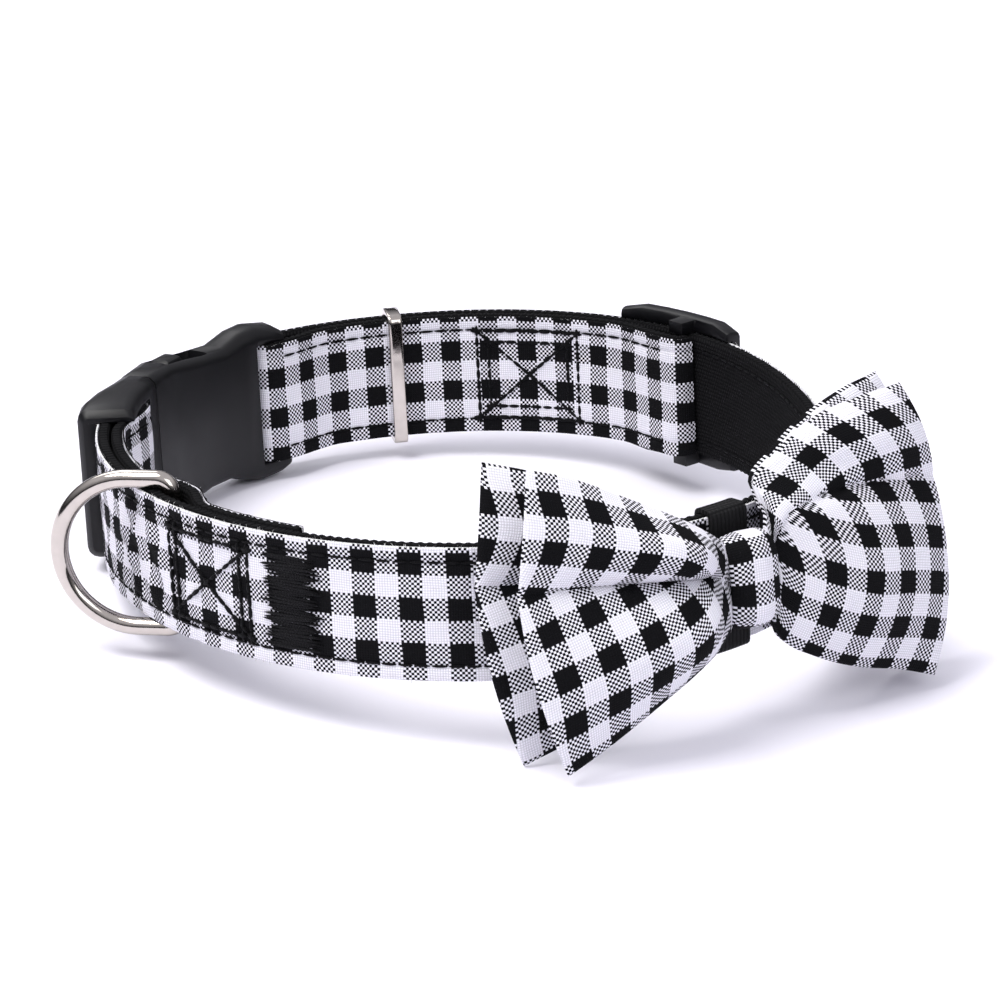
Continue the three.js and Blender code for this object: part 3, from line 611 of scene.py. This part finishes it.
link(real.outputs["Geometry"], dye.inputs["Geometry"])
link(given["Thread"], dye.inputs["Material"])
link(dye.outputs["Geometry"], result["Geometry"])

twist, g_in, g_out = new_group(
    "twisted thread",
    [("Vector", "Vector", None), ("Base", "Color", (0.0022, 0.0022, 0.003, 1))],
    [("Color", "Color"), ("Height", "Float")],
)
plies = twist.nodes.new("ShaderNodeTexWave")
plies.inputs["Scale"].default_value = 1.6
plies.inputs["Distortion"].default_value = 1.5
twist.links.new(g_in["Vector"], plies.inputs["Vector"])
lift = number(twist, "ADD", number(twist, "MULTIPLY", plies.outputs["Fac"], 1.2), 0.5)
twist.links.new(scaled(twist, g_in["Base"], lift), g_out["Color"])
twist.links.new(plies.outputs["Fac"], g_out["Height"])
thread = shaded("black_thread", twist, {}, "object", 0.55, 0.0001, gloss=0.12)


def stitched(name, lines, pitch, length, thickness, seed):
    """Stitches along lines of points in metres, as one plain mesh. Sizes are in millimetres."""
    verts, edges = [], []
    for line in lines:
        first = len(verts)
        verts += [tuple(p) for p in line]
        edges += [(first + k, first + k + 1) for k in range(len(line) - 1)]
    guide = bpy.data.meshes.new(name)
    guide.from_pydata(verts, edges, [])
    piece = in_scene(name, guide)
    modifier = piece.modifiers.new("stitch", "NODES")
    modifier.node_group = stitcher
    values = {"Pitch": pitch / 1000, "Length": length / 1000, "Thickness": thickness / 1000,
              "Seed": seed, "Thread": thread}
    for item in stitcher.interface.items_tree:
        if item.item_type == "SOCKET" and item.in_out == "INPUT" and item.name in values:
            modifier[item.identifier] = values[item.name]
    depsgraph = bpy.context.evaluated_depsgraph_get()
    made = bpy.data.meshes.new_from_object(piece.evaluated_get(depsgraph))
    piece.modifiers.clear()
    piece.data = made
    made.name = name
    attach(piece, "collar")


seam_up = half_width - stitch_inset
seam_margin, seam_step, seam_sink, seam_proud = 3, 1.5, 0.1, 0.08
inner_face = webbing_thick / 2 + seam_proud
main_along = np.arange(adjuster_bar + seam_margin, loop_length + anchor_bar - seam_margin, seam_step)
adjust_along = np.arange(adjuster_bar + seam_margin, post_at - 2, seam_step)
tail_along = np.arange(anchor_end + seam_margin, anchor_bar - seam_margin, seam_step)
topstitch = []
for up in (-seam_up, seam_up):
    topstitch.append(on_strap(main_along, face_out - seam_sink, up))
    topstitch.append(on_strap(main_along, -inner_face, up))
    topstitch.append(on_strap(adjust_along, -return_depth(adjust_along) - face_out + seam_sink, up))
    topstitch.append(on_strap(tail_along, -return_depth(tail_along) - face_out + seam_sink, up))
stitched("topstitch", topstitch, stitch_pitch, 3.0, 0.5, 1)


def boxed_cross(first, last, up, out_at):
    """A rectangle of stitches with its two diagonals, laid at the height that out_at gives."""
    corners = [(first, -up), (last, -up), (last, up), (first, up)]
    pairs = [(0, 1), (1, 2), (2, 3), (3, 0), (0, 2), (1, 3)]
    lines = []
    for a, b in pairs:
        t = np.linspace(0, 1, 15)
        along = corners[a][0] + (corners[b][0] - corners[a][0]) * t
        height_up = corners[a][1] + (corners[b][1] - corners[a][1]) * t
        lines.append(on_strap(along, out_at(along), height_up))
    return lines


def on_face(along):
    return face_out + 0.15 + 0 * along


def on_returned_face(along):
    return -return_depth(along) - face_out + 0.05


# Each box: its first and last place along the strap, and its half height. The front box has its
# two upright sides sewn twice, and the back box its whole rectangle.
front_box, front_inner_box = (95, 116, 8.4), (97, 114, 8.4)
back_box, back_inner_box = (279, 302, 9.4), (281.5, 299.5, 7.0)
front_cross = boxed_cross(*front_box, on_face) + boxed_cross(*front_inner_box, on_face)[1:4:2]
back_cross = boxed_cross(*back_box, on_returned_face)
back_cross += boxed_cross(*back_inner_box, on_returned_face)[:4]
stitched("boxed_cross", front_cross + back_cross, 2.2, 2.6, 0.8, 2)

bar_at, bar_reach, bar_half, bar_pitch = 85.6, 11.2, 8.6, 0.5
guide_half, bar_proud = 0.02, 0.05
satin = []
for k, up in enumerate(np.arange(-bar_half, bar_half, bar_pitch)):
    middle = bar_at + 0.7 * math.sin(2.3 * k) + 0.3 * math.sin(7.1 * k)
    slant = 0.001 * math.sin(5.0 * k)
    proud = face_out + bar_proud + 0.14 * math.sin(5.3 * k)
    satin.append(on_strap([middle - guide_half, middle + guide_half], proud, [up - slant, up + slant]))
stitched("satin_bar", satin, 1.0, bar_reach, 0.72, 3)

loose_at, loose_up, loose_drop, loose_proud = 140.0, -6.5, 3.4, 0.3
curl = np.linspace(0, 1, 30)
loose_along = loose_at - 2.2 * np.sin(4.5 * curl)
loose_out = face_out + loose_proud + 1.6 * np.sin(3 * curl)
loose_end = on_strap(loose_along, loose_out, loose_up - loose_drop * curl)
stitched("loose_thread", [loose_end], 0.12, 0.24, 0.2, 4)


# The buckle: two moulded acetal halves, semi-matt black with a fine grain and soft mould edges.
# The male half holds inside the other by two springing arms.
grain_group, g_in, g_out = new_group(
    "moulded grain",
    [("Vector", "Vector", None), ("Base", "Color", (0.0035, 0.0035, 0.0045, 1)),
     ("Gloss", "Float", 0.27)],
    [("Color", "Color"), ("Height", "Float"), ("Roughness", "Float")],
)
fine = noise(grain_group, g_in["Vector"], 5.0, 3.0)["Fac"]
broad = noise(grain_group, g_in["Vector"], 0.15, 2.0)["Fac"]
lift = number(grain_group, "ADD", fine, 0.5)
grain_group.links.new(scaled(grain_group, g_in["Base"], lift), g_out["Color"])
grain_group.links.new(fine, g_out["Height"])
rough = number(grain_group, "ADD", number(grain_group, "MULTIPLY", broad, 0.2), g_in["Gloss"])
grain_group.links.new(rough, g_out["Roughness"])
acetal = shaded("black_acetal", grain_group, {}, "object", 0.45, 0.00002, gloss=0.24)


def soften(node, material, width, angle=32.0):
    """A hard CAD part kept as it is, with its own material and small rounded edges."""
    part = frame["nodes"][node]
    part.data.materials.clear()
    part.data.materials.append(material)
    weld = part.modifiers.new("weld", "WELD")
    weld.merge_threshold = 1e-6
    edge = part.modifiers.new("edges", "BEVEL")
    edge.width = width / 1000
    edge.segments = 2
    edge.limit_method = "ANGLE"
    edge.angle_limit = math.radians(angle)
    edge.harden_normals = True
    part.data.polygons.foreach_set("use_smooth", np.ones(len(part.data.polygons), bool))


soften("buckle_male", acetal, 0.35)
soften("buckle_female", acetal, 0.35)
soften("slider", acetal, 0.3)


# The keeper and the D-ring: polished nickel plate on steel. The keeper is a flat band pressed
# round both layers, and the ring is one round wire bent to a D with its ends welded.
plate, g_in, g_out = new_group(
    "nickel plate",
    [("Vector", "Vector", None), ("Base", "Color", (0.52, 0.48, 0.44, 1)),
     ("Gloss", "Float", 0.04)],
    [("Color", "Color"), ("Height", "Float"), ("Roughness", "Float")],
)
rub = noise(plate, g_in["Vector"], 0.6, 6.0)["Fac"]
lift = number(plate, "ADD", number(plate, "MULTIPLY", rub, 0.2), 0.88)
plate.links.new(scaled(plate, g_in["Base"], lift), g_out["Color"])
plate.links.new(rub, g_out["Height"])
rough = number(plate, "ADD", number(plate, "MULTIPLY", rub, 0.12), g_in["Gloss"])
plate.links.new(rough, g_out["Roughness"])
nickel = shaded("nickel_plate", plate, {}, "object", 0.15, 0.00001, metallic=1.0)
soften("keeper", nickel, 0.25)



def arc(centre_x, centre_y, bend, first, last, steps):
    """Points round a centre from one bearing in degrees to another, without the last."""
    bearing = np.radians(np.linspace(first, last, steps + 1)[:-1])
    return np.stack([centre_x + bend * np.cos(bearing), centre_y + bend * np.sin(bearing)], 1)


def straight_line(first, last, steps):
    """Points from one place to another, without the last."""
    return np.linspace(first, last, steps + 1)[:-1]


def tube_faces(rows, around):
    """The faces of a tube made of rings of points, whose last ring joins its first."""
    faces = []
    for a in range(rows):
        here, there = a * around, (a + 1) % rows * around
        for b in range(around):
            after = (b + 1) % around
            faces.append((here + b, here + after, there + after, there + b))
    return faces


ring_reach, ring_corner, ring_swing, wire_sides = 22.5, 2.6, -45.0, 24
ring_half = half_width + clearance + ring_wire / 2
leg_half, curve_at = ring_half - ring_corner, ring_reach - ring_half
outline = np.concatenate([
    straight_line((0, -leg_half), (0, leg_half), 12),
    arc(ring_corner, leg_half, ring_corner, 180, 90, 8),
    straight_line((ring_corner, ring_half), (curve_at, ring_half), 5),
    arc(curve_at, 0, ring_half, 90, -90, 48),
    straight_line((curve_at, -ring_half), (ring_corner, -ring_half), 5),
    arc(ring_corner, -leg_half, ring_corner, -90, -180, 8),
])
straight_out = on_strap_bare(d_ring_at, 1.0, 0.0) - on_strap_bare(d_ring_at, 0.0, 0.0)
swing = math.radians(ring_swing)
away = np.array([
    straight_out[0] * math.cos(swing) - straight_out[1] * math.sin(swing),
    straight_out[0] * math.sin(swing) + straight_out[1] * math.cos(swing),
    0,
])
beside = np.array([-away[1], away[0], 0])
heading = np.roll(outline, -1, 0) - np.roll(outline, 1, 0)
heading /= np.linalg.norm(heading, axis=1, keepdims=True)
wire_points = []
for k in range(len(outline)):
    for j in range(wire_sides):
        angle = 2 * math.pi * j / wire_sides
        in_plane, off_plane = ring_wire / 2 * math.cos(angle), ring_wire / 2 * math.sin(angle)
        x = outline[k, 0] - heading[k, 1] * in_plane
        y = outline[k, 1] + heading[k, 0] * in_plane
        wire_points.append(hinge_bare + away * x + beside * off_plane + np.array([0, 0, y]))
wire_faces = tube_faces(len(outline), wire_sides)
ring_mesh = bpy.data.meshes.new("d_ring_wire")
ring_mesh.from_pydata(placed(np.array(wire_points)).tolist(), [], wire_faces)
ring_mesh.polygons.foreach_set("use_smooth", np.ones(len(wire_faces), bool))
ring_mesh.materials.append(nickel)
ring = in_scene("d_ring_wire", ring_mesh)
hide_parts("d_ring")
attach(ring, "ring")


# The bow: two gathered layers of the same gingham, each folded over so that its edges are soft,
# wrapped at the middle by a strip of it. It leans a little back and turns a little to its left.
bow_at, bow_up, bow_cloth, bow_height = 5.5, 1.2, 1.2, 54.5
front_width, back_width, edge_bulge = 79.0, 84.0, 5.4
knot_width, knot_height, knot_wall = 10.0, 16.5, 1.0
bow_lean, wing_twist, bow_turn, elastic_thick = 5.0, 5.0, 8.2, 0.8
left_crease, right_crease, crease_fall = 0.22, 0.64, 0.3
gather_room = 0.6
pinched = knot_height / 2 - knot_wall - 2 * clearance - gather_room
wing_at = np.array([0, 0.1, 0.14, 0.3, 0.55, 0.8, 1.0])
wing = {
    "leftTop": [0, 0.02, 0.12, 0.34, 0.61, 0.86, 1],
    "leftFoot": [0, 0.02, 0.16, 0.36, 0.63, 0.86, 1],
    "rightTop": [0, 0.06, 0.42, 0.64, 0.86, 0.97, 1],
    "rightFoot": [0, 0.04, 0.28, 0.5, 0.72, 0.86, 1],
    "leftPuff": [0.011, 0.014, 0.026, 0.115, 0.115, 0.07, 0.03],
    "rightPuff": [0.011, 0.012, 0.014, 0.045, 0.085, 0.07, 0.03],
    "frontSweep": [0, 0, 0, 0, 0.03, 0.055, 0.068],
    "backSweep": [0, 0, 0, 0.022, 0.075, 0.18, 0.24],
}
fold_roundness = 0.55
left_over_strap, right_over_strap = 1.5, 6.0
strap_top, lean_rise = 9.0, 8.0
lean_from, lean_in, lean_fade, lean_out = 0.09, 0.06, 0.4, 0.55


def wing_value(column, at):
    """A table column at a share of the wing, on a smooth curve through its rows."""
    rows = np.array(wing[column], float)
    last = len(rows) - 1
    slopes = np.array([
        0 if k < 1 else (rows[min(k + 1, last)] - rows[k - 1]) / (wing_at[min(k + 1, last)] - wing_at[k - 1])
        for k in range(len(rows))
    ])
    i = np.clip(np.searchsorted(wing_at, at, side="right") - 1, 0, last - 1)
    width = wing_at[i + 1] - wing_at[i]
    t = (at - wing_at[i]) / width
    return (rows[i] * (1 + 2 * t) * (1 - t) ** 2 + slopes[i] * width * t * (1 - t) ** 2
            + rows[i + 1] * t * t * (3 - 2 * t) + slopes[i + 1] * width * t * t * (t - 1))


def crease_line(across):
    """Where the deep crease of each wing lies, from -1 at the foot to 1 at the top."""
    share = np.abs(across)
    return np.where(across < 0, left_crease, right_crease - crease_fall * share) * ease(4 * share)


def bow_middle(across, tall, width, sweep, depth):
    """The middle of a bow cloth, in the bow's own millimetres: x across, y back, z up."""
    share = np.abs(across)
    reach = width / 2 * share + edge_bulge * share * share * (1 - tall * tall)
    left = across < 0
    top = np.where(left, wing_value("leftTop", share), wing_value("rightTop", share))
    foot = np.where(left, wing_value("leftFoot", share), wing_value("rightFoot", share))
    spread = np.where(tall < 0, foot, top)
    up = (pinched + (bow_height / 2 - pinched) * spread) * tall
    crease = crease_line(across)
    fold = (tall - crease) / np.where(tall < crease, 1 + crease, 1 - crease)
    swell = np.abs(np.sin(math.pi * fold))
    swell = np.where(np.abs(fold) < 0.5, swell ** fold_roundness, swell)
    puffed = np.where(left, wing_value("leftPuff", share), wing_value("rightPuff", share))
    puff = bow_height * puffed * swell
    by_knot = ease((share - lean_from) / lean_in) * (1 - ease((share - lean_fade) / lean_out))
    furthest = np.where(left, left_over_strap, right_over_strap)
    over_strap = furthest * by_knot * ease((up - strap_top) / lean_rise)
    back = bow_height * wing_value(sweep, share) + over_strap
    tilt = up * np.tan(np.radians(wing_twist * share))
    return np.stack([np.sign(across) * reach, depth + back + tilt - puff, up], -1)


bow_seat = face_out + 2 * clearance + elastic_thick
lean_room = knot_height / 2 * math.sin(math.radians(bow_lean))
turn_room = knot_width / 2 * math.sin(math.radians(bow_turn))
bow_origin = on_strap_bare(bow_at, bow_seat + lean_room + turn_room, bow_up)
facing_way = on_strap_bare(bow_at, 1.0, 0.0) - on_strap_bare(bow_at, 0.0, 0.0)
yaw = math.atan2(facing_way[0], -facing_way[1]) - math.radians(bow_turn)
tip = -math.radians(bow_lean)
yaw_turn = np.array([
    [math.cos(yaw), -math.sin(yaw), 0],
    [math.sin(yaw), math.cos(yaw), 0],
    [0, 0, 1],
])
tip_turn = np.array([
    [1, 0, 0],
    [0, math.cos(tip), -math.sin(tip)],
    [0, math.sin(tip), math.cos(tip)],
])
bow_turned = yaw_turn @ tip_turn


def on_bow(points):
    return placed(np.asarray(points) @ bow_turned.T + bow_origin)


rim_across, rim_tall, steepest = 0.018, 0.028, 1.3
gather_at, gather_span, gather_depth = 0.2, 0.13, 0.16
drape_depth, most_back, most_forward = 0.35, 0.45, 0.9
first_check_across, first_check_tall = 2.0, 30.0


def bow_cloth_piece(name, node, width, sweep, depth, seed):
    """One gathered cloth: a closed sheet with rounded rims, gathers by the knot, and a UV map
    that follows the flat cloth."""
    share = np.r_[np.linspace(0, 0.97, 66), 0.985, 0.995, 1.0]
    across = np.r_[-share[::-1], share[1:]]
    tall = np.r_[-1.0, -0.992, -0.975, np.linspace(-0.95, 0.95, 61), 0.975, 0.992, 1.0]
    a, t = np.meshgrid(across, tall, indexing="ij")
    middle = bow_middle(a, t, width, sweep, depth)
    near = bow_middle(a, t - 0.04 * np.where(t > 0, 1, -1), width, sweep, depth)
    slope = np.abs((near[..., 1] - middle[..., 1]) / (near[..., 2] - middle[..., 2]))
    in_knot = 1 - ease((np.abs(a * width) - knot_width) / knot_width)
    half = bow_cloth / 2 * (in_knot + (1 - in_knot) * np.minimum(np.hypot(1, slope), steepest))
    rim = np.minimum((1 - np.abs(a)) / rim_across, (1 - np.abs(t)) / rim_tall)
    half = half * np.sqrt(np.clip(1 - (1 - np.clip(rim, 0, 1)) ** 2, 0.04, 1))
    s = np.abs(a)
    gather = bell(s, gather_at, gather_span) * (1 - t * t)
    out_of_knot = ease((s - 0.125) / 0.06)
    pleats = gather_depth * gather * out_of_knot * np.sin(9.5 * t + 2.0 * np.sign(a) + seed)
    drape = drape_depth * ease((s - 0.3) / 0.4) * np.sin(3.1 * t + 5.0 * s + seed) * (1 - t * t)
    shift_y = -np.clip(pleats + drape, -most_back, most_forward)
    front = middle + np.stack([0 * half, shift_y - half, 0 * half], -1)
    rear = middle + np.stack([0 * half, shift_y + half, 0 * half], -1)
    rows, cols = a.shape
    u = np.zeros_like(a)
    step = np.linalg.norm(np.diff(middle, axis=0), axis=-1)
    u[1:] = np.cumsum(step, axis=0)
    u -= u[rows // 2][None, :]
    tall_step = np.linalg.norm(np.diff(middle, axis=1), axis=-1)
    from_foot = np.concatenate([np.zeros((rows, 1)), np.cumsum(tall_step, axis=1)], axis=1)
    tall_flat = from_foot[-1, -1]
    v_low = from_foot - tall_flat / 2
    v_high = tall_flat / 2 - (from_foot[:, -1:] - from_foot)
    above = t > crease_line(a)
    i, j = np.meshgrid(np.arange(rows - 1), np.arange(cols - 1), indexing="ij")
    f = (i * cols + j).ravel()
    quads = np.stack([f, f + cols, f + cols + 1, f + 1], 1)
    offset = rows * cols
    border = np.r_[
        np.arange(rows - 1) * cols,
        (rows - 1) * cols + np.arange(cols - 1),
        np.arange(rows - 1, 0, -1) * cols + cols - 1,
        np.arange(cols - 1, 0, -1),
    ]
    following = np.roll(border, -1)
    rims = np.stack([border, border + offset, following + offset, following], 1)
    faces = np.concatenate([quads, quads[:, ::-1] + offset, rims])
    mesh = bpy.data.meshes.new(name)
    both_faces = np.concatenate([front.reshape(-1, 3), rear.reshape(-1, 3)])
    mesh.from_pydata(on_bow(both_faces).tolist(), [], faces.tolist())
    maps = []
    for v in (v_low, v_high):
        flat = np.stack([u.ravel() + first_check_across + seed, v.ravel() + first_check_tall + seed], 1)
        maps.append(np.concatenate([flat, flat]))
    over = np.concatenate([above.ravel(), above.ravel()])[faces].mean(axis=1) > 0.6
    chosen = np.where(over[:, None, None], maps[1][faces], maps[0][faces])
    layer = mesh.uv_layers.new(name="cloth")
    layer.data.foreach_set("uv", chosen.ravel())
    mesh.polygons.foreach_set("use_smooth", np.ones(len(faces), bool))
    mesh.materials.append(gingham)
    piece = in_scene(name, mesh)
    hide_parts(node)
    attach(piece, "collar")
    tall_flat = float(tall_flat) / 1000


back_depth = -(knot_wall + clearance + bow_cloth / 2)
front_depth = back_depth - bow_cloth - clearance
bow_cloth_piece(
    "bow_back_cloth", "bow_back", back_width, "backSweep", back_depth, 1.3,
)
bow_cloth_piece(
    "bow_front_cloth", "bow_front", front_width, "frontSweep", front_depth, 0.0,
)

# The knot: a strip of the gingham, its raw edges turned in, wrapped once round the middle.
knot_puff, knot_swell, edge_swell = 0.87, 1.5, 0.5
back_round, front_round = 1.0, 3.4
knot_front = front_depth - bow_cloth / 2 - knot_puff - clearance - knot_wall
columns, corner_steps, side_steps = 25, 8, 6
knot_check_across, knot_check_round, seam_lap = 5.3, 1.5, 0.5


def knot_ring(grow, share):
    """One ring of the strip's points, back and up: its outside bulges at the middle."""
    swell = 1 - share * share if grow > 0 else 0.0
    low_y, high_y = knot_front + knot_wall - grow - knot_swell * swell, -knot_wall + grow
    low_z = -(knot_height / 2 - knot_wall) - grow - edge_swell * swell
    high_z = knot_height / 2 - knot_wall + grow + edge_swell * swell
    radii = [back_round + grow, front_round + grow, front_round + grow, back_round + grow]
    centres = [(high_y - radii[0], high_z - radii[0]), (low_y + radii[1], high_z - radii[1]),
               (low_y + radii[2], low_z + radii[2]), (high_y - radii[3], low_z + radii[3])]
    ring_points = []
    for q, (cy, cz) in enumerate(centres):
        for k in range(corner_steps + 1):
            angle = math.pi / 2 * (q + k / corner_steps)
            ring_points.append((cy + radii[q] * math.cos(angle), cz + radii[q] * math.sin(angle)))
        after = (q + 1) % len(centres)
        end_angle = math.pi / 2 * (q + 1)
        start = ring_points[-1]
        end = (centres[after][0] + radii[after] * math.cos(end_angle),
               centres[after][1] + radii[after] * math.sin(end_angle))
        for k in range(1, side_steps):
            t = k / side_steps
            ring_points.append((start[0] + (end[0] - start[0]) * t, start[1] + (end[1] - start[1]) * t))
    return np.array(ring_points)


knot_points, knot_uv = [], []
shares = np.linspace(-1, 1, columns)
rows = [(share, knot_wall * (1 - 0.55 * abs(share) ** 10)) for share in shares]
rows += [(share, 0.0) for share in shares[::-1]]
around_step = np.linalg.norm(np.diff(knot_ring(knot_wall, 0.0), axis=0), axis=1)
around_length = np.r_[0, np.cumsum(around_step)]
for share, grow in rows:
    pleat = 0.12 * math.sin(7.48 * share) * (1 if grow else 0)
    for k, (y, z) in enumerate(knot_ring(grow, share)):
        knot_points.append((share * knot_width / 2, y - pleat, z))
        knot_uv.append((share * knot_width / 2 + knot_check_across, around_length[k] + knot_check_round))
around = len(around_length)
knot_faces = tube_faces(len(rows), around)
knot_mesh = bpy.data.meshes.new("bow_knot_wrap")
knot_mesh.from_pydata(on_bow(np.array(knot_points)).tolist(), [], knot_faces)
layer = knot_mesh.uv_layers.new(name="cloth")
closing = around_length[-1] + knot_check_round + seam_lap
corner_uv = []
for face in knot_faces:
    wraps = face[1] % around == 0
    for c, vertex in enumerate(face):
        u, v = knot_uv[vertex]
        corner_uv.append((u, closing if wraps and c in (1, 2) else v))
layer.data.foreach_set("uv", np.array(corner_uv).ravel())
knot_mesh.polygons.foreach_set("use_smooth", np.ones(len(knot_faces), bool))
knot_mesh.materials.append(gingham)
knot = in_scene("bow_knot_wrap", knot_mesh)
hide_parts("bow_knot")
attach(knot, "collar")

# The elastic: a woven black band round the strap behind the knot, which the bow slides on by.
elastic = frame["nodes"]["bow_elastic"]
elastic.data.materials.clear()
# Its ribbed weave carries the same painted highlight on the yarn tops and painted shade between them.
elastic.data.materials.append(shaded("elastic_weave", rib, {"Pitch": 0.9}, "object", 0.75, 0.0002))
